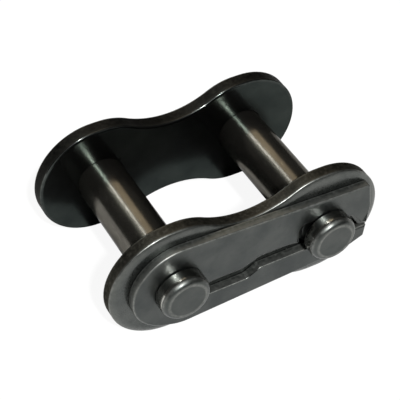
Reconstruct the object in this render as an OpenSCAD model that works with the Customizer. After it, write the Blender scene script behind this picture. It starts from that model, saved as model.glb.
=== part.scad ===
// Spring-clip connecting link of a 5/8 inch pitch roller chain.
// X runs along the chain, the cover plate and its clip face -Y, and Z is up.
// The origin is on the surface that the plates' lower edges stand on, below the middle.

/* [Chain] */
// Distance between the two pin axes
pitch = 15.875; // [15.6:0.025:16.4]
// Clear width between the two plates
inner_w = 13.6; // [9.6:0.1:16]

/* [Plates] */
// Height of a plate over its round ends
plate_h = 12.5; // [12:0.1:13.4]
// Height of a plate at its waist
waist_h = 8.65; // [7.6:0.05:9.6]
// Distance from a pin axis out to the centre of a plate's round end
end_shift = 0.25; // [0.1:0.05:0.35]
// Distance from a pin axis in to the centre of the round end's inner side
end_stretch = 0.45; // [0.3:0.05:0.6]
// Thickness of a plate
plate_t = 1.5; // [1.2:0.1:2]
// Radial play of a pin in the cover plate
cover_play = 0.03; // [0.02:0.01:0.08]

/* [Pins] */
// Diameter of a pin where it turns in the neighbouring link
pin_d = 5; // [4.8:0.02:5.2]
// Length of a pin in front of the cover plate
pin_tip = 2.6; // [2.3:0.05:3.2]
// Length of the shoulder that rounds off a pin's front end
shoulder = 0.8; // [0.4:0.05:1]
// Diameter of the flat on a pin's front end
tip_d = 3.9; // [3.6:0.05:4.2]
// Diameter of the groove that the clip sits in
groove_d = 4; // [3.8:0.05:4.2]
// Taper in diameter of the stretches that lie in the plates
seat_taper = 0.08; // [0.04:0.02:0.1]
// Height of the riveted end behind the rear plate
rivet_h = 0.6; // [0.4:0.1:0.8]
// Diameter of the riveted end
rivet_d = 5.5; // [5.3:0.1:5.9]

/* [Spring clip] */
// Thickness of the clip
clip_t = 0.9; // [0.7:0.05:1]
// Height of the clip at its round closed end
clip_h = 9.6; // [9.2:0.1:9.8]
// Reach of the clip's bulging open end past the right pin's axis
tail_reach = 5.1; // [4.8:0.05:5.4]
// Height of the upper leg's end corner above the pin axes
tail_top = 3.95; // [3.6:0.05:4.2]
// Depth of the lower leg's end corner below the pin axes
tail_bottom = 3.1; // [2.6:0.05:3.6]
// Play between the clip and the grooves, radially and along the pins
clip_play = 0.05; // [0.03:0.01:0.08]

/* [Hidden] */
$fn = 96;

half_pitch = pitch / 2;
outer_x = half_pitch + end_shift;
inner_x = half_pitch - end_stretch;
axis_z = plate_h / 2;
depth = rivet_h + plate_t + inner_w + plate_t + pin_tip;
rear_face_y = depth / 2 - rivet_h;
rear_inner_y = rear_face_y - plate_t;
cover_inner_y = rear_inner_y - inner_w;
cover_face_y = cover_inner_y - plate_t;
clip_face_y = cover_face_y - clip_t;
tip_y = cover_face_y - pin_tip;
bore_r = pin_d / 2 + cover_play;
seat_r = pin_d / 2 - seat_taper / 2;
press_hole_r = seat_r;
clip_hole_r = groove_d / 2 + clip_play;
rivet_rim = rivet_h / 2;

steel_black = [0.16, 0.17, 0.18];
steel_satin = [0.3, 0.32, 0.32];
steel_pin = [0.42, 0.41, 0.38];

// Radius of the arcs that join the plates' two round ends, of radius r, at a waist half w high
function waist_arc_r(r, w) = (inner_x * inner_x + w * w - r * r) / (2 * (r - w));

// A slab of thickness t behind its front face, standing upright: 2D x, y become x, z
module slab(front_y, t) {
    translate([0, front_y + t, axis_z]) rotate([90, 0, 0]) linear_extrude(t) children();
}

// A round length between two Y positions, r_back at the rear and r_front at the front
module round_length(x, back_y, front_y, r_back, r_front) {
    translate([x, back_y, axis_z]) rotate([90, 0, 0])
        cylinder(h = back_y - front_y, r1 = r_back, r2 = r_front);
}

// Two stretched round ends joined by hollow flanks; the hairs let all edges cross cleanly
module waisted_outline(end_h, middle_h) {
    bite = 0.005;
    hair = 0.002;
    end_r = end_h / 2;
    half_middle = middle_h / 2;
    arc_r = waist_arc_r(end_r, half_middle);
    arc_z = half_middle + arc_r;
    join = end_r / (end_r + arc_r);
    for (side = [-1, 1]) {
        translate([side * outer_x, 0]) circle(end_r);
        translate([side * inner_x, 0]) circle(end_r);
        translate([side * (outer_x + inner_x) / 2, 0])
            square([outer_x - inner_x, end_h - hair], center = true);
    }
    difference() {
        square([2 * inner_x * (1 - join), 2 * arc_z * join], center = true);
        for (side = [-1, 1]) translate([0, side * arc_z]) circle(arc_r + bite);
    }
}

// Direction of the line's outward side where a line touches circle a and then b, each [x, y, r]
function outward(a, b) =
    let (across = b[0] - a[0], up = b[1] - a[1])
    atan2(up, across) - acos((a[2] - b[2]) / norm([across, up]));

// Point of circle c that faces the direction given, a hair inside it so that edges cross it cleanly
function touch(c, direction) = 0.998 * c[2] * [cos(direction), sin(direction)] + [c[0], c[1]];

// The outline of a band stretched round circles that are listed anticlockwise, each [x, y, r]
module wrapped(circles) {
    count = len(circles);
    for (c = circles) translate([c[0], c[1]]) circle(c[2]);
    polygon([
        for (i = [0:count - 1]) let (a = circles[i], b = circles[(i + 1) % count], out = outward(a, b))
            each [touch(a, out), touch(b, out)]
    ]);
}

module two_holes(r) {
    for (side = [-1, 1]) translate([side * half_pitch, 0]) circle(r);
}

// One pin, from its riveted rear end to its chamfered tip
module pin(x) {
    groove_back_y = cover_face_y + clip_play;
    groove_front_y = clip_face_y - clip_play;
    pin_r = pin_d / 2;
    tip_r = tip_d / 2;
    bend = 0.7;
    shoulder_y = tip_y + shoulder;
    bend_y = tip_y + shoulder * (1 - bend);
    bend_r = tip_r + (pin_r - tip_r) * bend;
    round_length(x, depth / 2, depth / 2 - rivet_rim, rivet_d / 2 - rivet_rim, rivet_d / 2);
    round_length(x, depth / 2 - rivet_rim, rear_face_y, rivet_d / 2, rivet_d / 2);
    round_length(x, rear_face_y, rear_inner_y, seat_r, pin_r);
    round_length(x, rear_inner_y, cover_inner_y, pin_r, pin_r);
    round_length(x, cover_inner_y, groove_back_y, pin_r, seat_r);
    round_length(x, groove_back_y, groove_front_y, groove_d / 2, groove_d / 2);
    round_length(x, groove_front_y, shoulder_y, pin_r, pin_r);
    round_length(x, shoulder_y, bend_y, pin_r, bend_r);
    round_length(x, bend_y, tip_y, bend_r, tip_r);
}

// Round the left pin with a fuller heel below it, straight along both legs, and blunt with a slight
// bulge at the open end
module clip_outline() {
    closed_x = 0.12 - half_pitch;
    closed_y = 0.05;
    heel_r = 4.43;
    heel_x = 0.9 - half_pitch;
    heel_y = -0.65;
    corner_r = 0.3;
    tail_x = half_pitch + tail_reach;
    high_back = 0.45;
    low_back = 0.25;
    bulge_r = 3;
    bulge_y = 0.8;
    elbow_r = 2;
    elbow_x = half_pitch + 1.9;
    elbow_y = -2.1;
    wrapped([
        [closed_x, closed_y, clip_h / 2],
        [heel_x, heel_y, heel_r],
        [elbow_x, elbow_y, elbow_r],
        [tail_x - low_back - corner_r, corner_r - tail_bottom, corner_r],
        [tail_x - bulge_r, bulge_y, bulge_r],
        [tail_x - high_back - corner_r, tail_top - corner_r, corner_r]
    ]);
}

// The slit between the two legs, with a step halfway that makes the lower leg slimmer on its left
module leg_slit() {
    polygon([
        [-half_pitch, -1.1], [-1.1, -1.1], [0.7, -0.3], [half_pitch, -0.3],
        [half_pitch, -1.6], [0.8, -1.65], [-0.6, -2.5], [-5.6, -2.5], [-half_pitch, -1.85]
    ]);
}

// The seat on the right pin: relieved on its left, and open to the tail between the legs' ends
module right_seat() {
    circle(clip_hole_r);
    polygon([[0, 1.9], [-1.2, 1.9], [-2.6, 1.95], [-2.95, 1.6], [-2.95, -0.3], [-2.3, -1.2], [0, -1.2]]);
    polygon([
        [0, 0.9], [2.9, 0.5], [4, -1.2], [tail_reach + 1, -1.2],
        [tail_reach + 1, -1.5], [1, -1.5]
    ]);
}

module rear_plate() {
    color(steel_black) slab(rear_inner_y, plate_t) difference() {
        waisted_outline(plate_h, waist_h);
        two_holes(press_hole_r);
    }
}

module left_pin() {
    color(steel_pin) pin(-half_pitch);
}

module right_pin() {
    color(steel_pin) pin(half_pitch);
}

module cover_plate() {
    color(steel_satin) slab(cover_face_y, plate_t) difference() {
        waisted_outline(plate_h, waist_h);
        two_holes(bore_r);
    }
}

module spring_clip() {
    color(steel_satin) slab(clip_face_y, clip_t) difference() {
        clip_outline();
        translate([-half_pitch, 0]) circle(clip_hole_r);
        translate([half_pitch, 0]) right_seat();
        leg_slit();
    }
}

rear_plate();
left_pin();
right_pin();
cover_plate();
spring_clip();
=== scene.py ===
import math

import bmesh
import bpy
from mathutils import Matrix, Vector, noise

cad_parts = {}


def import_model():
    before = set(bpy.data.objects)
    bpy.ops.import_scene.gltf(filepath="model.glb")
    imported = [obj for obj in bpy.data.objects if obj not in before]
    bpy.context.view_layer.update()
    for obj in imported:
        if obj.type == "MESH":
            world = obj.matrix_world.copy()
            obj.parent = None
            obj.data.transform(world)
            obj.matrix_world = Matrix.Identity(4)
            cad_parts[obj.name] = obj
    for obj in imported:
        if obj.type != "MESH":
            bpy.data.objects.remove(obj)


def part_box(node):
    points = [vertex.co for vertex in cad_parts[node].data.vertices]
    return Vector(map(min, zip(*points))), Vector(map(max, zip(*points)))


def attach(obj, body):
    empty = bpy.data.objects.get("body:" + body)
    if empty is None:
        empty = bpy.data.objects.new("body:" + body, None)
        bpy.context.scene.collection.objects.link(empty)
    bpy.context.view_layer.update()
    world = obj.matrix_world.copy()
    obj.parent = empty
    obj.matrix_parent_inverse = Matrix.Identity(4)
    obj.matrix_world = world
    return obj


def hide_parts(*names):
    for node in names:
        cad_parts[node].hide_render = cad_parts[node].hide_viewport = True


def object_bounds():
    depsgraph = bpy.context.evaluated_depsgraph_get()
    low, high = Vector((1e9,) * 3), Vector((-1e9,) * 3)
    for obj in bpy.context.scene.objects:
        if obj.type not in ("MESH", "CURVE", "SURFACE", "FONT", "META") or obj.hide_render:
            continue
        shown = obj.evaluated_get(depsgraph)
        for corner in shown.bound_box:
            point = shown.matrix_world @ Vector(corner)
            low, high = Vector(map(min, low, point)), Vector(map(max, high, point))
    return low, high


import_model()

# The connecting link of a roller chain. Everything is in metres, in the CAD model's frame:
# X along the chain, the cover plate and its clip face -Y, Z up, the floor at the lowest point.
MM = 0.001
cad_lo, cad_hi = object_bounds()
centre = (cad_lo + cad_hi) / 2


def middle(node):
    lo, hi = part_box(node)
    return (lo + hi) / 2


# Sizes that the frame gives
HALF_PITCH = (middle("right_pin").x - middle("left_pin").x) / 2
AXIS_Z = middle("right_pin").z
REAR_FRONT_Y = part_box("rear_plate")[0].y
REAR_BACK_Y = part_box("rear_plate")[1].y
COVER_FRONT_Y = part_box("cover_plate")[0].y
COVER_BACK_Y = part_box("cover_plate")[1].y
CLIP_FRONT_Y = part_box("spring_clip")[0].y
CLIP_BACK_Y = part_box("spring_clip")[1].y
PIN_TIP_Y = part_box("left_pin")[0].y
PIN_REAR_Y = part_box("left_pin")[1].y
PLATE_END_R = middle("rear_plate").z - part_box("rear_plate")[0].z
PLATE_OUTER_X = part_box("rear_plate")[1].x - PLATE_END_R
RIVET_R = middle("left_pin").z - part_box("left_pin")[0].z
TAIL_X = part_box("spring_clip")[1].x

# Sizes inside the pieces, as in the CAD model
PLATE_HALF_WAIST = 4.325 * MM
PLATE_INNER_X = HALF_PITCH - 0.45 * MM
PIN_R = 2.5 * MM
GROOVE_R = 2.0 * MM
SHOULDER = 0.8 * MM
TIP_R = 1.95 * MM
SEAT_R = 2.46 * MM
COVER_BORE_R = 2.53 * MM
CLIP_HOLE_R = 2.05 * MM
CLIP_PLAY = 0.05 * MM
RIVET_RIM = 0.3 * MM
# Heights of the throat between the clip's two legs, from the pins' axes
THROAT_TOP = -1.2 * MM
THROAT_LOW = -1.5 * MM

# ---------------------------------------------------------------- outlines in the XZ plane


def arc(cx, cz, r, start, end, count):
    """Points on a circle from one angle to another, in degrees, both ends included."""
    step = math.radians(end - start) / count
    turns = [math.radians(start) + i * step for i in range(count + 1)]
    return [(cx + r * math.cos(a), cz + r * math.sin(a)) for a in turns]


def ring(cx, r, count):
    return arc(cx, 0, r, 0, 360, count)[:-1]


def waisted_loop(end_r, half_waist, inset, per_side=18, per_quarter=22, per_flank=28):
    """Two stretched round ends joined by hollow flanks, moved inwards by inset; anticlockwise."""
    flank_r = (PLATE_INNER_X ** 2 + half_waist ** 2 - end_r ** 2) / (2 * (end_r - half_waist))
    flank_z = half_waist + flank_r
    reach = math.degrees(math.atan2(flank_z, -PLATE_INNER_X))
    r, hollow_r = end_r - inset, flank_r + inset
    loop = []
    for turn in (0, 180):
        side = 1 if turn == 0 else -1
        loop += arc(side * PLATE_INNER_X, 0, r, turn - reach, turn - 90, per_side)
        loop += arc(side * PLATE_OUTER_X, 0, r, turn - 90, turn + 90, 2 * per_quarter)
        loop += arc(side * PLATE_INNER_X, 0, r, turn + 90, turn + reach, per_side)[:-1]
        loop += arc(0, side * flank_z, hollow_r, turn + reach - 180, turn - reach, per_flank)[:-1]
    return loop


def blend(here, before, after, cut, steps):
    """(t, point) pairs along a curve that cuts a corner; before and after point to its neighbours."""
    a, b = here + before.normalized() * cut, here + after.normalized() * cut
    pairs = []
    for k in range(steps + 1):
        t = k / steps
        pairs.append((t, (1 - t) ** 2 * a + 2 * t * (1 - t) * here + t * t * b))
    return pairs


def rounded(corners):
    """Turns (x, z, radius, roll) corners into (x, z, roll) points, rounded where there is a radius.

    A corner takes up to most of the stretch to its neighbour, and has a point every few degrees.
    """
    most = 0.48
    degrees_a_step = 12
    points = []
    for i, (x, z, r, roll) in enumerate(corners):
        here = Vector((x, z))
        if r == 0:
            points.append((x, z, roll))
            continue
        before = Vector(corners[i - 1][:2]) - here
        after = Vector(corners[(i + 1) % len(corners)][:2]) - here
        half = before.angle(after) / 2
        cut = min(r / math.tan(half), most * before.length, most * after.length)
        steps = max(3, round(math.degrees(math.pi - 2 * half) / degrees_a_step))
        points.extend((*point, roll) for _, point in blend(here, before, after, cut, steps))
    return points


def inward(points):
    """Normals into the shape at each point of an anticlockwise loop, of length 1 or more at corners."""
    longest = 2
    normals = []
    for i, p in enumerate(points):
        here = Vector(p[:2])
        into = (here - Vector(points[i - 1][:2])).normalized()
        out = (Vector(points[(i + 1) % len(points)][:2]) - here).normalized()
        normal_in = Vector((-into.y, into.x))
        normal = (normal_in + Vector((-out.y, out.x))).normalized()
        normals.append(normal / max(1 / longest, normal.dot(normal_in)))
    return normals


def meet(r, p, q, sign):
    """Angle, in degrees, where the line through p and q leaves a circle of radius r about the origin."""
    p, q = Vector(p), Vector(q)
    d = (q - p).normalized()
    b = p.dot(d)
    t = -b + sign * math.sqrt(b * b - p.dot(p) + r * r)
    hit = p + d * t
    return math.degrees(math.atan2(hit.y, hit.x))


def outward(a, b):
    """Direction, 0 to 360 degrees, of the outside of the line that touches circle a and then b."""
    across, up = b[0] - a[0], b[1] - a[1]
    turned = math.atan2(up, across) - math.acos((a[2] - b[2]) / math.hypot(across, up))
    return math.degrees(turned) % 360


def clip_outline():
    """The clip's closed edge as (x, z, roll): outside, throat, right seat, slit, left hole, slit.

    roll is 0 for a plain rim, up to 1 for the broad rim of the slit's upper side, and down to -1 for
    the sharp rim of its lower side. soft, sharp and bend are the radii that round off corners.
    """
    right = HALF_PITCH
    soft, sharp, bend = 0.3 * MM, 0.15 * MM, 1.4 * MM
    corner_r = 0.3 * MM
    closed = (0.12 * MM - right, 0.05 * MM, 4.8 * MM)
    heel = (0.9 * MM - right, -0.65 * MM, 4.43 * MM)
    elbow = (right + 1.9 * MM, -2.1 * MM, 2 * MM)
    low = (TAIL_X - 0.25 * MM - corner_r, -3.1 * MM + corner_r, corner_r)
    bulge = (TAIL_X - 3 * MM, 0.8 * MM, 3 * MM)
    high = (TAIL_X - 0.45 * MM - corner_r, 3.95 * MM - corner_r, corner_r)
    end_tilt = outward(low, bulge) - 360
    path = []

    def run(points):
        path.extend((x, z, 0, 0) for x, z in points)

    def corner(x, z, r, roll=0.0):
        """A corner of radius r, with its place in millimetres from the middle."""
        path.append((x * MM, z * MM, r, roll))

    def at_right(x, z, r, roll=0.0):
        """A corner of radius r, with its place in millimetres from the right pin's axis."""
        path.append((right + x * MM, z * MM, r, roll))

    def turn(circle, start, end):
        """The corner that a circle rounds off between two of its tangents."""
        a, b = math.radians((start + end) / 2), math.radians((end - start) / 2)
        reach = circle[2] / math.cos(b)
        path.append((circle[0] + reach * math.cos(a), circle[1] + reach * math.sin(a), circle[2], 0))

    def tail_end(z):
        """The point at height z on the blunt end's lower stretch."""
        a = math.radians(end_tilt)
        x = (low[0] * math.cos(a) + (low[1] - z) * math.sin(a) + low[2]) / math.cos(a)
        path.append((x, z, sharp, 0))

    def hole(cx, start, end, count):
        points = arc(cx, 0, CLIP_HOLE_R, start, end, count)
        path.append((*points[0], sharp, 0))
        run(points[1:-1])
        path.append((*points[-1], sharp, 0))

    # Outside, from the upper leg's end round the closed end to the lower leg's end
    tail_end(THROAT_TOP)
    run(arc(*bulge, end_tilt, outward(bulge, high), 6))
    turn(high, outward(bulge, high), outward(high, closed))
    run(arc(*closed, outward(high, closed), outward(closed, heel), 60))
    run(arc(*heel, outward(closed, heel), outward(heel, elbow), 14))
    run(arc(*elbow, outward(heel, elbow), outward(elbow, low), 6))
    turn(low, outward(elbow, low) - 360, end_tilt)
    tail_end(THROAT_LOW)
    # Lower part of the seat on the right pin, and the lower leg's sharper side of the slit
    throat = math.degrees(math.asin(THROAT_LOW / CLIP_HOLE_R))
    slit_start = math.degrees(math.asin(1.6 * MM / CLIP_HOLE_R))
    hole(right, throat, slit_start - 180, 12)
    corner(4, -1.63, 0, -0.6)
    corner(0.8, -1.65, soft, -0.4)
    corner(0.45, -1.86, 0, -1)
    corner(0.1, -2.08, 0, -1)
    corner(-0.25, -2.29, 0, -1)
    corner(-0.6, -2.5, soft, -0.4)
    corner(-3, -2.5, 0, -0.6)
    corner(-5.6, -2.5, soft)
    # Hole on the left pin, and the upper leg's side of the slit with its broad roll
    slit_end = meet(CLIP_HOLE_R, (right - 5.6 * MM, -2.5 * MM), (0, -1.85 * MM), -1)
    hole(-right, slit_end, -360 - math.degrees(math.asin(1.1 * MM / CLIP_HOLE_R)), 40)
    for x, roll in ((-5.5, 0.2), (-5.1, 0.5), (-4.6, 0.85), (-4, 1), (-3, 1), (-2, 1)):
        corner(x, -1.1, 0, roll)
    corner(-1.1, -1.1, bend, 1)
    corner(-0.2, -0.7, 0, 1)
    corner(0.7, -0.3, bend, 1)
    for x, roll in ((-6, 1), (-5, 1), (-4.2, 0.85), (-3.7, 0.6), (-3.4, 0.4)):
        at_right(x, -0.3, 0, roll)
    # Relief beside the right seat, and the upper part of that seat out to the throat
    at_right(-2.95, -0.3, 0.25 * MM, 0.2)
    at_right(-2.95, 0.7, 0, 0.4)
    at_right(-2.95, 1.6, soft, 0.2)
    at_right(-2.6, 1.95, soft)
    at_right(-1.2, 1.9, soft)
    lip = meet(CLIP_HOLE_R, (0, 0.9 * MM), (2.9 * MM, 0.5 * MM), 1)
    over = arc(right, 0, CLIP_HOLE_R, 110, lip, 14)
    run(over[:-1])
    path.append((*over[-1], sharp, 0))
    at_right(2.9, 0.5, soft, 0.2)
    at_right(4, -1.2, soft, 0.5)
    return rounded(path)


# ---------------------------------------------------------------- solids


def finish_mesh(bm, name, materials):
    """A new object from the bmesh, smooth, with normals weighted so that large flat faces stay flat."""
    bmesh.ops.recalc_face_normals(bm, faces=bm.faces)
    mesh = bpy.data.meshes.new(name)
    bm.to_mesh(mesh)
    bm.free()
    for material in materials:
        mesh.materials.append(material)
    mesh.shade_smooth()
    obj = bpy.data.objects.new(name, mesh)
    bpy.context.collection.objects.link(obj)
    weighted = obj.modifiers.new("flat_faces", "WEIGHTED_NORMAL")
    weighted.mode = "FACE_AREA"
    weighted.weight = 100
    return obj


def bridge(bm, a, b, material):
    """Quads between two rings of the same count."""
    for i in range(len(a)):
        j = (i + 1) % len(a)
        face = bm.faces.new((a[i], a[j], b[j], b[i]))
        face.material_index = material


# A stamped edge's steps over its crown, its nose and its rear rim, and the narrow ring inside them
CROWN_STEPS = 3
NOSE_STEPS = 5
BACK_STEPS = 3
HEM = 0.05 * MM
# The bumps on a sheared side: their size, and how far they are drawn out across the thickness
GRIT_SIZE = 0.28 * MM
GRIT_STRETCH = 2.5


def edge_rows(front_y, back_y, outline, rims, back_r, side_steps, side_rub_sheen, roughness):
    """Rings of points down a stamped edge: crowned and rounded front rim, side, small rear rim.

    outline(i, inset) gives point i's (x, z); rims gives each point's own crown width, crown depth and
    nose radius; back_r is the rear rim's radius; side_rub_sheen is how far rubbing and a painted sheen
    lighten the side's front, and roughness is how far its bumps go in, towards mid height, where they
    fade out. Each ring comes with whether it is on the sheared side, and with how far rubbing and a
    painted sheen lighten it.
    """
    rings = []
    tilts = [math.atan2(2 * crown_depth, crown) for crown, crown_depth, nose in rims]

    def ring_at(inset_and_y, side, rub_sheen_share):
        points = []
        for i, rim in enumerate(rims):
            inset, y = inset_and_y(tilts[i], *rim)
            x, z = outline(i, inset)
            if side:
                grain = noise.noise(Vector((x, y / GRIT_STRETCH, z)) / GRIT_SIZE)
                z -= math.copysign(roughness * (0.5 + 0.5 * grain) * min(1, abs(z) / MM), z)
            points.append((x, y, z + AXIS_Z))
        rings.append((points, side, rub_sheen_share))

    def crown_at(t, extra=0.0):
        def inset_and_y(tilt, crown, crown_depth, nose):
            inset = nose * (1 - math.sin(tilt)) + crown * (1 - t) + extra
            return inset, front_y + crown_depth * t * t
        return inset_and_y

    def nose_at(t):
        def inset_and_y(tilt, crown, crown_depth, nose):
            a = tilt + (math.pi / 2 - tilt) * t
            fall = nose * (math.cos(tilt) - math.cos(a))
            return nose * (1 - math.sin(a)), front_y + crown_depth + fall
        return inset_and_y

    def side_at(t):
        def inset_and_y(tilt, crown, crown_depth, nose):
            top = front_y + crown_depth + nose * math.cos(tilt)
            return 0, top * (1 - t) + (back_y - back_r) * t
        return inset_and_y

    def back_at(a):
        return lambda *rim: (back_r * (1 - math.cos(a)), back_y - back_r * (1 - math.sin(a)))

    ring_at(crown_at(0, HEM), False, 0)
    for k in range(CROWN_STEPS + 1):
        ring_at(crown_at(k / CROWN_STEPS), False, 0.5 * k / CROWN_STEPS)
    for k in range(1, NOSE_STEPS + 1):
        ring_at(nose_at(k / NOSE_STEPS), False, 1)
    for k in range(1, side_steps):
        ring_at(side_at(k / side_steps), True, max(0, side_rub_sheen * (1 - (k - 1) / 2)))
    for k in range(BACK_STEPS + 1):
        ring_at(back_at(math.pi / 2 * k / BACK_STEPS), False, 1)
    ring_at(lambda *rim: (back_r + HEM, back_y), False, 0)
    return rings


# Places in a stamped piece's list of materials
FRONT, BACK, SIDE = range(3)


def stamped(name, rows, holes, hole_rim, materials, shade_at_rim):
    """A plate from the rings of its edge; materials are for front, back and sheared side.

    The last argument gives how much painted shade darkens each point's own rim, most at the rim's
    outer side; there it also takes away the rim's rubbing and painted sheen.
    """
    bm = bmesh.new()
    # Rubbing and a painted sheen that lighten the rims
    rub_and_sheen = bm.verts.layers.float.new("rub_and_sheen")
    # Painted shade along the clip's slit, darkest at the rim's outer side
    slit_shade = bm.verts.layers.float.new("slit_shade")
    nose_start = CROWN_STEPS + 2
    rings = []
    for points, side, rub_sheen_share in rows:
        made = [bm.verts.new(p) for p in points]
        # Where the painted shade lies, the rim loses its rubbing and painted sheen
        for v, rim_shade in zip(made, shade_at_rim):
            v[rub_and_sheen] = rub_sheen_share * (1 - rim_shade)
            v[slit_shade] = rim_shade * min(1, len(rings) / nose_start)
        rings.append(made)
    half = len(rings) // 2
    for i in range(len(rings) - 1):
        sheared_here = rows[i][1] or rows[i + 1][1]
        face_here = FRONT if i < half else BACK
        bridge(bm, rings[i], rings[i + 1], SIDE if sheared_here else face_here)
    front_y, back_y = rows[0][0][0][1], rows[-1][0][0][1]
    loops_front, loops_back = [rings[0]], [rings[-1]]
    mid_rim = 0.3 * hole_rim
    for x, r in holes:
        hole_rows = [
            (front_y, r + hole_rim),
            (front_y + mid_rim, r + mid_rim),
            (front_y + hole_rim, r),
            (back_y - hole_rim, r),
            (back_y - mid_rim, r + mid_rim),
            (back_y, r + hole_rim),
        ]
        made = []
        for y, hole_r in hole_rows:
            points = ring(x, hole_r, count=72)
            made.append([bm.verts.new((px, y, pz + AXIS_Z)) for px, pz in points])
        for i, material in enumerate((FRONT, FRONT, SIDE, BACK, BACK)):
            bridge(bm, made[i], made[i + 1], material)
        loops_front.append(made[0])
        loops_back.append(made[-1])
    for loops, y_normal, material in ((loops_front, -1, FRONT), (loops_back, 1, BACK)):
        edges = []
        for loop in loops:
            for i in range(len(loop)):
                edges.append(bm.edges.get((loop[i], loop[(i + 1) % len(loop)])))
        filled = bmesh.ops.triangle_fill(bm, use_beauty=True, edges=edges, normal=(0, y_normal, 0))
        for face in filled["geom"]:
            if isinstance(face, bmesh.types.BMFace):
                face.material_index = material
    return finish_mesh(bm, name, materials)


def lathe(name, x, profile, materials, segments=96):
    """A turned piece about the line through (x, AXIS_Z) along Y, from (y, r, material, rubbing and
    painted sheen) rows.
    """
    bm = bmesh.new()
    # Rubbing and a painted sheen that lighten rings, such as the light rings on the head's shoulder
    rub_and_sheen = bm.verts.layers.float.new("rub_and_sheen")
    rings = []
    for y, r, _, rub_sheen_share in profile:
        if r == 0:
            rings.append([bm.verts.new((x, y, AXIS_Z))])
        else:
            rings.append([bm.verts.new((px, y, pz + AXIS_Z)) for px, pz in ring(x, r, segments)])
        for v in rings[-1]:
            v[rub_and_sheen] = rub_sheen_share
    for i in range(len(rings) - 1):
        a, b, material = rings[i], rings[i + 1], profile[i + 1][2]
        if len(a) == 1 or len(b) == 1:
            tip, rim = (a[0], b) if len(a) == 1 else (b[0], a)
            for k in range(segments):
                face = bm.faces.new((tip, rim[k], rim[(k + 1) % segments]))
                face.material_index = material
        else:
            bridge(bm, a, b, material)
    return finish_mesh(bm, name, materials)


def softened(rows, radius, steps=4):
    """Rounds each corner of a (y, r, material, rubbing and painted sheen) profile by about the radius
    given.

    A corner takes up to most of the stretch to its neighbour.
    """
    most = 0.45
    out = [rows[0]]
    for i in range(1, len(rows) - 1):
        here = Vector(rows[i][:2])
        before, after = Vector(rows[i - 1][:2]) - here, Vector(rows[i + 1][:2]) - here
        cut = min(radius, most * before.length, most * after.length)
        for t, point in blend(here, before, after, cut, steps):
            material = rows[i][2] if t < 0.5 else rows[i + 1][2]
            out.append((*point, material, rows[i][3]))
    return out + [rows[-1]]


# ---------------------------------------------------------------- materials


class Steel:
    """One procedural steel, built node by node around a Principled shader."""

    def __init__(self, name, roughness, coat, coat_roughness):
        self.material = bpy.data.materials.new(name)
        self.material.use_nodes = True
        self.tree = self.material.node_tree
        self.shader = self.tree.nodes["Principled BSDF"]
        self.shader.inputs["Metallic"].default_value = 1.0
        self.shader.inputs["Roughness"].default_value = roughness
        self.shader.inputs["Coat Weight"].default_value = coat
        self.shader.inputs["Coat Roughness"].default_value = coat_roughness
        self.place = self.tree.nodes.new("ShaderNodeTexCoord")
        self.height = None

    def link(self, a, b):
        self.tree.links.new(a, b)

    def speckle(self, size, stretch=(1, 1, 1), detail=4, roughness=0.55):
        """Noise with features of the given size in metres, drawn out along the axes by stretch."""
        mapping = self.tree.nodes.new("ShaderNodeMapping")
        mapping.inputs["Scale"].default_value = tuple(1 / (size * s) for s in stretch)
        self.link(self.place.outputs["Object"], mapping.inputs["Vector"])
        made = self.tree.nodes.new("ShaderNodeTexNoise")
        made.inputs["Scale"].default_value = 1.0
        made.inputs["Detail"].default_value = detail
        made.inputs["Roughness"].default_value = roughness
        self.link(mapping.outputs["Vector"], made.inputs["Vector"])
        return made.outputs["Fac"]

    def ramp(self, source, stops):
        """Colours along a 0 to 1 value: stops are (position, colour)."""
        made = self.tree.nodes.new("ShaderNodeValToRGB")
        while len(made.color_ramp.elements) < len(stops):
            made.color_ramp.elements.new(0.5)
        for element, (position, colour) in zip(made.color_ramp.elements, stops):
            element.position = position
            element.color = (*colour, 1)
        self.link(source, made.inputs["Fac"])
        return made.outputs["Color"]

    def remap(self, source, low, high, to_low, to_high):
        made = self.tree.nodes.new("ShaderNodeMapRange")
        for key, value in zip(("From Min", "From Max", "To Min", "To Max"), (low, high, to_low, to_high)):
            made.inputs[key].default_value = value
        self.link(source, made.inputs["Value"])
        return made.outputs["Result"]

    def mix(self, factor, a, b):
        made = self.tree.nodes.new("ShaderNodeMix")
        made.data_type = "RGBA"
        self.link(factor, made.inputs["Factor"])
        sockets = [s for s in made.inputs if s.type == "RGBA"]
        for socket, value in zip(sockets, (a, b)):
            if isinstance(value, tuple):
                socket.default_value = (*value, 1)
            else:
                self.link(value, socket)
        return [s for s in made.outputs if s.type == "RGBA"][0]

    def sum_or_product(self, operation, a, b):
        made = self.tree.nodes.new("ShaderNodeMath")
        made.operation = operation
        self.link(a, made.inputs[0])
        if isinstance(b, float):
            made.inputs[1].default_value = b
        else:
            self.link(b, made.inputs[1])
        return made.outputs["Value"]

    def bump(self, source, strength, distance):
        made = self.tree.nodes.new("ShaderNodeBump")
        made.inputs["Strength"].default_value = strength
        made.inputs["Distance"].default_value = distance
        self.link(source, made.inputs["Height"])
        if self.height is not None:
            self.link(self.height, made.inputs["Normal"])
        self.height = made.outputs["Normal"]
        self.link(self.height, self.shader.inputs["Normal"])

    def times(self, a, b):
        return self.sum_or_product("MULTIPLY", a, b)

    def plus(self, a, b):
        return self.sum_or_product("ADD", a, b)

    def painted(self, attribute):
        """One of the values stored on the mesh's points: rubbing with a painted sheen, and painted shade
        along the slit.
        """
        made = self.tree.nodes.new("ShaderNodeAttribute")
        made.attribute_name = attribute
        return made.outputs["Fac"]

    def dull(self, graze, metallic=1.0):
        """Lowers the reflection at grazing angles and, below 1, the share of bare metal."""
        self.shader.inputs["Specular Tint"].default_value = (graze, graze, graze, 1)
        self.shader.inputs["Metallic"].default_value = metallic
        return self.material

    def colour(self, source):
        self.link(source, self.shader.inputs["Base Color"])

    def gloss(self, source):
        self.link(source, self.shader.inputs["Roughness"])


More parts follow.
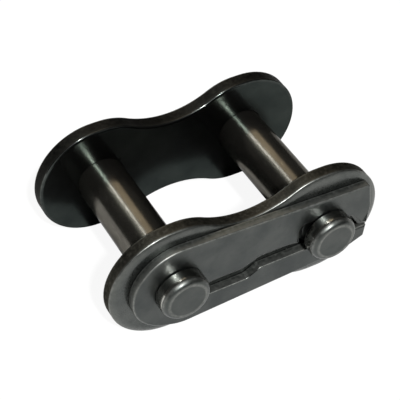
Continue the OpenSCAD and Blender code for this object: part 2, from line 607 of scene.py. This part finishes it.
def blackened(name, colours, roughness, oil, nicks):
    """Heat-blackened steel: cloudy film, fine grain, rims lightened by rubbing and a painted sheen,
    painted shade along the slit, nicks and an oil film.

    colours are the film's dark and light tones and the rims' tone of rubbing and painted sheen;
    roughness is the lowest and highest of the film, and what rubbing adds at a rim; oil is the coat's
    weight and roughness; nicks is how far the nicks darken.
    """
    dark, light, rub_sheen_tone = colours
    # The tone towards which the painted shade along the slit darkens the film
    shade_tone = tuple(0.12 * c for c in dark)
    pit = tuple(0.35 * c for c in dark)
    steel = Steel(name, roughness[1], *oil)
    cloud = steel.speckle(2.6 * MM, detail=3)
    fine = steel.speckle(0.22 * MM, detail=6, roughness=0.65)
    patchy = steel.speckle(0.5 * MM, detail=4, roughness=0.6)
    base = steel.ramp(cloud, [(0.35, dark), (0.65, light)])
    # Rims lightened towards their tone by rubbing and a painted sheen
    rub_sheen_share = steel.times(steel.painted("rub_and_sheen"), steel.remap(patchy, 0.38, 0.62, 0.35, 0.85))
    base = steel.mix(rub_sheen_share, base, rub_sheen_tone)
    # Painted shade: the rims along the slit darkened towards that tone
    base = steel.mix(steel.painted("slit_shade"), base, shade_tone)
    spots = steel.speckle(0.75 * MM, detail=5, roughness=0.7)
    hit = steel.remap(spots, 0.66, 0.74, 0.0, nicks)
    steel.colour(steel.mix(hit, base, pit))
    rim_rough = steel.times(steel.painted("rub_and_sheen"), roughness[2])
    steel.gloss(steel.plus(steel.remap(fine, 0.35, 0.65, roughness[0], roughness[1]), rim_rough))
    steel.bump(steel.speckle(0.9 * MM, detail=2), 0.10, 0.05 * MM)
    steel.bump(fine, 0.05, 0.01 * MM)
    return steel


def sheared(name, dark, middle_tone, light):
    """The cut edge of a stamped plate: streaked across the thickness, speckled, lightened at its front by
    rubbing and a painted sheen.
    """
    steel = Steel(name, roughness=0.5, coat=0.0, coat_roughness=0.3)
    streak = steel.speckle(0.2 * MM, stretch=(1, 4, 1), detail=4, roughness=0.6)
    grit = steel.speckle(0.3 * MM, detail=4, roughness=0.6)
    base = steel.ramp(grit, [(0.34, dark), (0.52, middle_tone), (0.72, light)])
    # The side's front lightened by rubbing and a painted sheen
    steel.colour(steel.mix(steel.painted("rub_and_sheen"), base, light))
    steel.gloss(steel.remap(grit, 0.3, 0.7, 0.44, 0.62))
    steel.bump(streak, 0.3, 0.03 * MM)
    steel.bump(grit, 0.3, 0.02 * MM)
    return steel


def polished(name, dark, light, scratch):
    """The ground bearing face of a pin: fine rings round it, streaks along it and a straw tint."""
    steel = Steel(name, roughness=0.2, coat=0.0, coat_roughness=0.1)
    rings = steel.speckle(0.5 * MM, stretch=(2, 0.06, 2), detail=4, roughness=0.6)
    streaks = steel.speckle(0.14 * MM, stretch=(1, 9, 1), detail=4, roughness=0.6)
    cloud = steel.speckle(1.8 * MM, stretch=(1, 2.5, 1), detail=3)
    base = steel.ramp(cloud, [(0.35, dark), (0.65, light)])
    scratched = steel.remap(streaks, 0.56, 0.72, 0.0, 0.5)
    steel.colour(steel.mix(scratched, base, scratch))
    steel.gloss(steel.remap(rings, 0.3, 0.7, 0.14, 0.26))
    steel.bump(rings, 0.2, 0.006 * MM)
    steel.bump(streaks, 0.25, 0.006 * MM)
    steel.shader.inputs["Anisotropic"].default_value = 0.35
    round_pin = steel.tree.nodes.new("ShaderNodeTangent")
    round_pin.direction_type = "RADIAL"
    round_pin.axis = "Y"
    steel.link(round_pin.outputs["Tangent"], steel.shader.inputs["Tangent"])
    return steel


# Dark, light and rim tones of each film, the rim tone being rubbing and a painted sheen, then of the
# pins' ground faces and the sheared edges
OUTER_TONES = ((0.051, 0.056, 0.054), (0.077, 0.082, 0.078), (0.14, 0.145, 0.135))
# The inner faces' film is a darker copy of the outer faces': painted shade for the dimmer light between
# the plates
SHADED_INNER_TONES = ((0.015, 0.019, 0.018), (0.023, 0.028, 0.026), (0.07, 0.076, 0.072))
CLIP_TONES = ((0.044, 0.049, 0.048), (0.066, 0.071, 0.068), (0.19, 0.195, 0.183))
NECK_TONES = ((0.2, 0.202, 0.187), (0.38, 0.38, 0.357), (0.45, 0.45, 0.42))
HEAD_TONES = ((0.041, 0.047, 0.045), (0.063, 0.068, 0.065), (0.18, 0.184, 0.173))
STRAW_TONES = ((0.085, 0.081, 0.072), (0.122, 0.117, 0.103), (0.22, 0.213, 0.19))
CLIP_CUT_TONES = ((0.07, 0.075, 0.07), (0.11, 0.117, 0.109), (0.17, 0.176, 0.166))
CUT_TONES = ((0.02, 0.02, 0.017), (0.034, 0.033, 0.028), (0.066, 0.064, 0.056))
REAR_CUT_TONES = ((0.008, 0.008, 0.008), (0.015, 0.015, 0.014), (0.03, 0.03, 0.027))
OUTER = blackened("plate_outer", OUTER_TONES, (0.24, 0.38, 0.08), (0.15, 0.12), 0.5).dull(0.8)
# Painted shade: the plates' inner faces, between the plates, in the darker copy of the film
SHADED_INNER = blackened("plate_inner_shade", SHADED_INNER_TONES, (0.13, 0.2, 0.0), (0.14, 0.5), 0.2).dull(0.3)
CLIP = blackened("clip_black", CLIP_TONES, (0.28, 0.42, 0.1), (0.1, 0.12), 0.8).dull(0.8)
CLIP_EDGE = sheared("clip_edge", *CLIP_CUT_TONES).dull(0.7)
CUT = sheared("sheared_edge", *CUT_TONES).dull(0.4)
CUT_REAR = sheared("sheared_edge_rear", *REAR_CUT_TONES).dull(0.5)
PIN = polished("pin_ground", *STRAW_TONES).dull(0.4, 0.96)
PIN_NECK = blackened("pin_neck", NECK_TONES, (0.19, 0.26, 0.0), (0.0, 0.3), 0.3).dull(0.6)
PIN_END = blackened("pin_black", HEAD_TONES, (0.3, 0.42, 0.1), (0.1, 0.12), 0.4).dull(0.8)

# ---------------------------------------------------------------- pieces

# The front rims: width and depth of the crowned strip, and radius of the nose outside it
REAR_RIM = (0.25 * MM, 0.05 * MM, 0.12 * MM)
COVER_RIM = (0.7 * MM, 0.2 * MM, 0.18 * MM)
CLIP_RIM = (0.1 * MM, 0.02 * MM, 0.16 * MM)
SLIT_RIM = (0.5 * MM, 0.2 * MM, 0.08 * MM)
SHARP_RIM = (0.03 * MM, 0.01 * MM, 0.06 * MM)


def chain_plate(name, node, body, front_y, back_y, bore_r, rim, materials):
    def outline(i, inset):
        if inset not in loops:
            loops[inset] = waisted_loop(PLATE_END_R, PLATE_HALF_WAIST, inset)
        return loops[inset][i]

    loops = {}
    count = len(waisted_loop(PLATE_END_R, PLATE_HALF_WAIST, 0))
    rows = edge_rows(
        front_y, back_y, outline, [rim] * count,
        back_r=0.12 * MM, side_steps=7, side_rub_sheen=0.2, roughness=0.03 * MM,
    )
    holes = [(-HALF_PITCH, bore_r), (HALF_PITCH, bore_r)]
    obj = stamped(name, rows, holes, 0.12 * MM, materials, shade_at_rim=[0] * count)
    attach(obj, body)
    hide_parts(node)


# A pin's materials: ground where it bears, blackened at its ends, and bright round its head's neck
PIN_MATERIALS = [PIN, PIN_END, PIN_NECK]
GROUND, BLACK, NECK = range(3)
# How far rubbing and a painted sheen lighten the shoulder's rings, from the neck round to the flat tip,
# and how many are bright
SHOULDER_RUB_SHEEN = (0, 0, 0, 0.3, 0.9, 1, 0.5, 0.2, 0.1, 0.1, 0.2, 0.6, 0.8)
BRIGHT_RINGS = 4


def chain_pin(name, node, x):
    head_back = CLIP_FRONT_Y - CLIP_PLAY
    groove_back = COVER_FRONT_Y + CLIP_PLAY
    soft = 0.12 * MM
    rows = [
        (PIN_REAR_Y - 0.12 * MM, 0, BLACK, 0),
        (PIN_REAR_Y - 0.1 * MM, 0.7 * MM, BLACK, 0),
        (PIN_REAR_Y, 1.1 * MM, BLACK, 0.15),
        (PIN_REAR_Y, RIVET_R - RIVET_RIM, BLACK, 0.15),
        (PIN_REAR_Y - RIVET_RIM, RIVET_R, BLACK, 0.25),
        (REAR_BACK_Y, RIVET_R - 0.02 * MM, BLACK, 0),
        (REAR_BACK_Y, SEAT_R, BLACK, 0),
        (REAR_FRONT_Y, PIN_R, GROUND, 0),
        (COVER_BACK_Y, PIN_R, GROUND, 0),
        (groove_back, SEAT_R, GROUND, 0),
        (groove_back, GROOVE_R, BLACK, 0),
        (head_back, GROOVE_R, BLACK, 0),
        (head_back, PIN_R, NECK, 0.2),
        (PIN_TIP_Y + SHOULDER + 0.05 * MM, PIN_R, NECK, 0),
    ]
    rows = softened(rows, soft)
    for i, rub_sheen_share in enumerate(SHOULDER_RUB_SHEEN):
        a = math.pi / 2 * i / (len(SHOULDER_RUB_SHEEN) - 1)
        y = PIN_TIP_Y + SHOULDER * (1 - math.sin(a))
        r = TIP_R + (PIN_R - TIP_R) * math.cos(a)
        rows.append((y, r, NECK if i < BRIGHT_RINGS else BLACK, rub_sheen_share))
    rows.append((PIN_TIP_Y, TIP_R - 0.1 * MM, BLACK, 1))
    rows.append((PIN_TIP_Y, TIP_R - 0.25 * MM, BLACK, 0))
    rows.append((PIN_TIP_Y, 0, BLACK, 0))
    obj = lathe(name, x, rows, PIN_MATERIALS)
    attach(obj, "pin_link")
    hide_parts(node)


def spring_clip():
    points = clip_outline()
    normals = inward(points)

    def outline(i, inset):
        x, z, _ = points[i]
        return (x + normals[i].x * inset, z + normals[i].y * inset)

    def rim(roll):
        """Towards the broad rim of the slit's upper side, or with a roll below 0 to a sharp one."""
        other = SLIT_RIM if roll > 0 else SHARP_RIM
        return tuple(a + (b - a) * abs(roll) for a, b in zip(CLIP_RIM, other))

    def shade_in_slit(roll):
        """Painted shade on the slit's broad rim, and on the sharpest stretch of the rim across from it.
        """
        most = 0.9
        return max(0, roll) if roll > -most else most

    rows = edge_rows(
        CLIP_FRONT_Y, CLIP_BACK_Y, outline, [rim(p[2]) for p in points],
        back_r=0.06 * MM, side_steps=4, side_rub_sheen=0.7, roughness=0.008 * MM,
    )
    # Painted shade on the rims along the slit, the relief and the throat
    shade_at_rim = [shade_in_slit(p[2]) for p in points]
    obj = stamped("spring_clip_formed", rows, [], 0, [CLIP, CLIP, CLIP_EDGE], shade_at_rim)
    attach(obj, "clip")
    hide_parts("spring_clip")


# Each plate's inner face, between the plates, takes the darker copy of the film as painted shade
chain_plate(
    "rear_plate_formed", "rear_plate", "pin_link",
    REAR_FRONT_Y, REAR_BACK_Y, SEAT_R, REAR_RIM, [SHADED_INNER, OUTER, CUT_REAR],
)
chain_plate(
    "cover_plate_formed", "cover_plate", "cover",
    COVER_FRONT_Y, COVER_BACK_Y, COVER_BORE_R, COVER_RIM, [OUTER, SHADED_INNER, CUT],
)
chain_pin("left_pin_turned", "left_pin", -HALF_PITCH)
chain_pin("right_pin_turned", "right_pin", HALF_PITCH)
spring_clip()

# ---------------------------------------------------------------- floor, lights, camera


def direction(azimuth, elevation):
    """Unit vector from the object towards a place; azimuth 0 is in front, on the -Y side."""
    a, e = math.radians(azimuth), math.radians(elevation)
    return Vector((math.sin(a) * math.cos(e), -math.cos(a) * math.cos(e), math.sin(e)))


def floor():
    """A pale floor that catches the shadows and, to the camera, mostly glows evenly white."""
    own_glow = 0.92
    bpy.ops.mesh.primitive_plane_add(size=4, location=(0, 0, cad_lo.z))
    plane = bpy.context.object
    plane.name = "floor"
    material = bpy.data.materials.new("pale_floor")
    material.use_nodes = True
    tree = material.node_tree
    diffuse = tree.nodes["Principled BSDF"]
    diffuse.inputs["Base Color"].default_value = (0.82, 0.82, 0.82, 1)
    diffuse.inputs["Roughness"].default_value = 1.0
    diffuse.inputs["Specular IOR Level"].default_value = 0.0
    lit = tree.nodes.new("ShaderNodeEmission")
    lit.inputs["Color"].default_value = (1, 1, 1, 1)
    lit.inputs["Strength"].default_value = 1.0
    rays = tree.nodes.new("ShaderNodeLightPath")
    share = tree.nodes.new("ShaderNodeMath")
    share.operation = "MULTIPLY"
    share.inputs[1].default_value = own_glow
    mix = tree.nodes.new("ShaderNodeMixShader")
    tree.links.new(rays.outputs["Is Camera Ray"], share.inputs[0])
    tree.links.new(share.outputs["Value"], mix.inputs[0])
    tree.links.new(diffuse.outputs["BSDF"], mix.inputs[1])
    tree.links.new(lit.outputs["Emission"], mix.inputs[2])
    tree.links.new(mix.outputs["Shader"], tree.nodes["Material Output"].inputs["Surface"])
    plane.data.materials.append(material)


def lamp(name, data, azimuth, elevation, distance):
    """Places a light so that it faces the object."""
    towards = direction(azimuth, elevation)
    light = bpy.data.objects.new(name, data)
    light.location = centre + towards * distance
    light.rotation_mode = "QUATERNION"
    light.rotation_quaternion = towards.to_track_quat("Z", "Y")
    bpy.context.collection.objects.link(light)


def sun(name, azimuth, elevation, strength, angle):
    data = bpy.data.lights.new(name, "SUN")
    data.energy = strength
    data.angle = math.radians(angle)
    lamp(name, data, azimuth, elevation, 0)


def softbox(name, azimuth, elevation, distance, width, height, radiance, colour):
    """A rectangular light with the radiance given in every direction."""
    data = bpy.data.lights.new(name, "AREA")
    data.shape = "RECTANGLE"
    data.size = width
    data.size_y = height
    data.energy = radiance * math.pi * width * height
    data.color = colour
    lamp(name, data, azimuth, elevation, distance)


def world():
    """A dim room that the steel reflects, which the camera sees as a pale backdrop."""
    made = bpy.data.worlds.new("studio")
    made.use_nodes = True
    tree = made.node_tree
    seen = tree.nodes["Background"]
    seen.inputs["Color"].default_value = (0.9, 0.9, 0.9, 1)
    seen.inputs["Strength"].default_value = 1.0
    room = tree.nodes.new("ShaderNodeBackground")
    room.inputs["Color"].default_value = (0.06, 0.06, 0.056, 1)
    room.inputs["Strength"].default_value = 1.0
    rays = tree.nodes.new("ShaderNodeLightPath")
    mix = tree.nodes.new("ShaderNodeMixShader")
    tree.links.new(rays.outputs["Is Camera Ray"], mix.inputs[0])
    tree.links.new(room.outputs["Background"], mix.inputs[1])
    tree.links.new(seen.outputs["Background"], mix.inputs[2])
    tree.links.new(mix.outputs["Shader"], tree.nodes["World Output"].inputs["Surface"])
    bpy.context.scene.world = made


def camera():
    """A close view from the upper left front, turned by a small roll."""
    azimuth, elevation, roll = -31.51, 44.78, 3.07
    distance = 115.5 * MM
    lens = 108.6
    aim = centre + Vector((-1.30, -0.11, 1.08)) * MM
    back = direction(azimuth, elevation)
    level = Vector((math.cos(math.radians(azimuth)), math.sin(math.radians(azimuth)), 0))
    rise = back.cross(level)
    r = math.radians(roll)
    right = math.cos(r) * level + math.sin(r) * rise
    up = -math.sin(r) * level + math.cos(r) * rise
    data = bpy.data.cameras.new("camera")
    data.lens = lens
    data.sensor_width = 36
    data.clip_start = 0.001
    cam = bpy.data.objects.new("camera", data)
    turned = Matrix((right, up, back)).transposed().to_4x4()
    cam.matrix_world = Matrix.Translation(aim + back * distance) @ turned
    bpy.context.collection.objects.link(cam)
    bpy.context.scene.camera = cam


floor()
world()
sun("key", azimuth=-12, elevation=49, strength=5.6, angle=3.5)
softbox(
    "strip", azimuth=-169.2, elevation=50.6, distance=1.0,
    width=0.05, height=1.0, radiance=12.0, colour=(1.0, 1.0, 1.0),
)
softbox(
    "haze", azimuth=-161.5, elevation=50.6, distance=1.02,
    width=0.2, height=1.0, radiance=1.0, colour=(0.95, 1.0, 0.88),
)
softbox(
    "warm_card", azimuth=164.8, elevation=49.6, distance=1.0,
    width=0.42, height=0.8, radiance=1.45, colour=(1.0, 0.83, 0.6),
)
camera()
bpy.context.scene.view_settings.view_transform = "Standard"
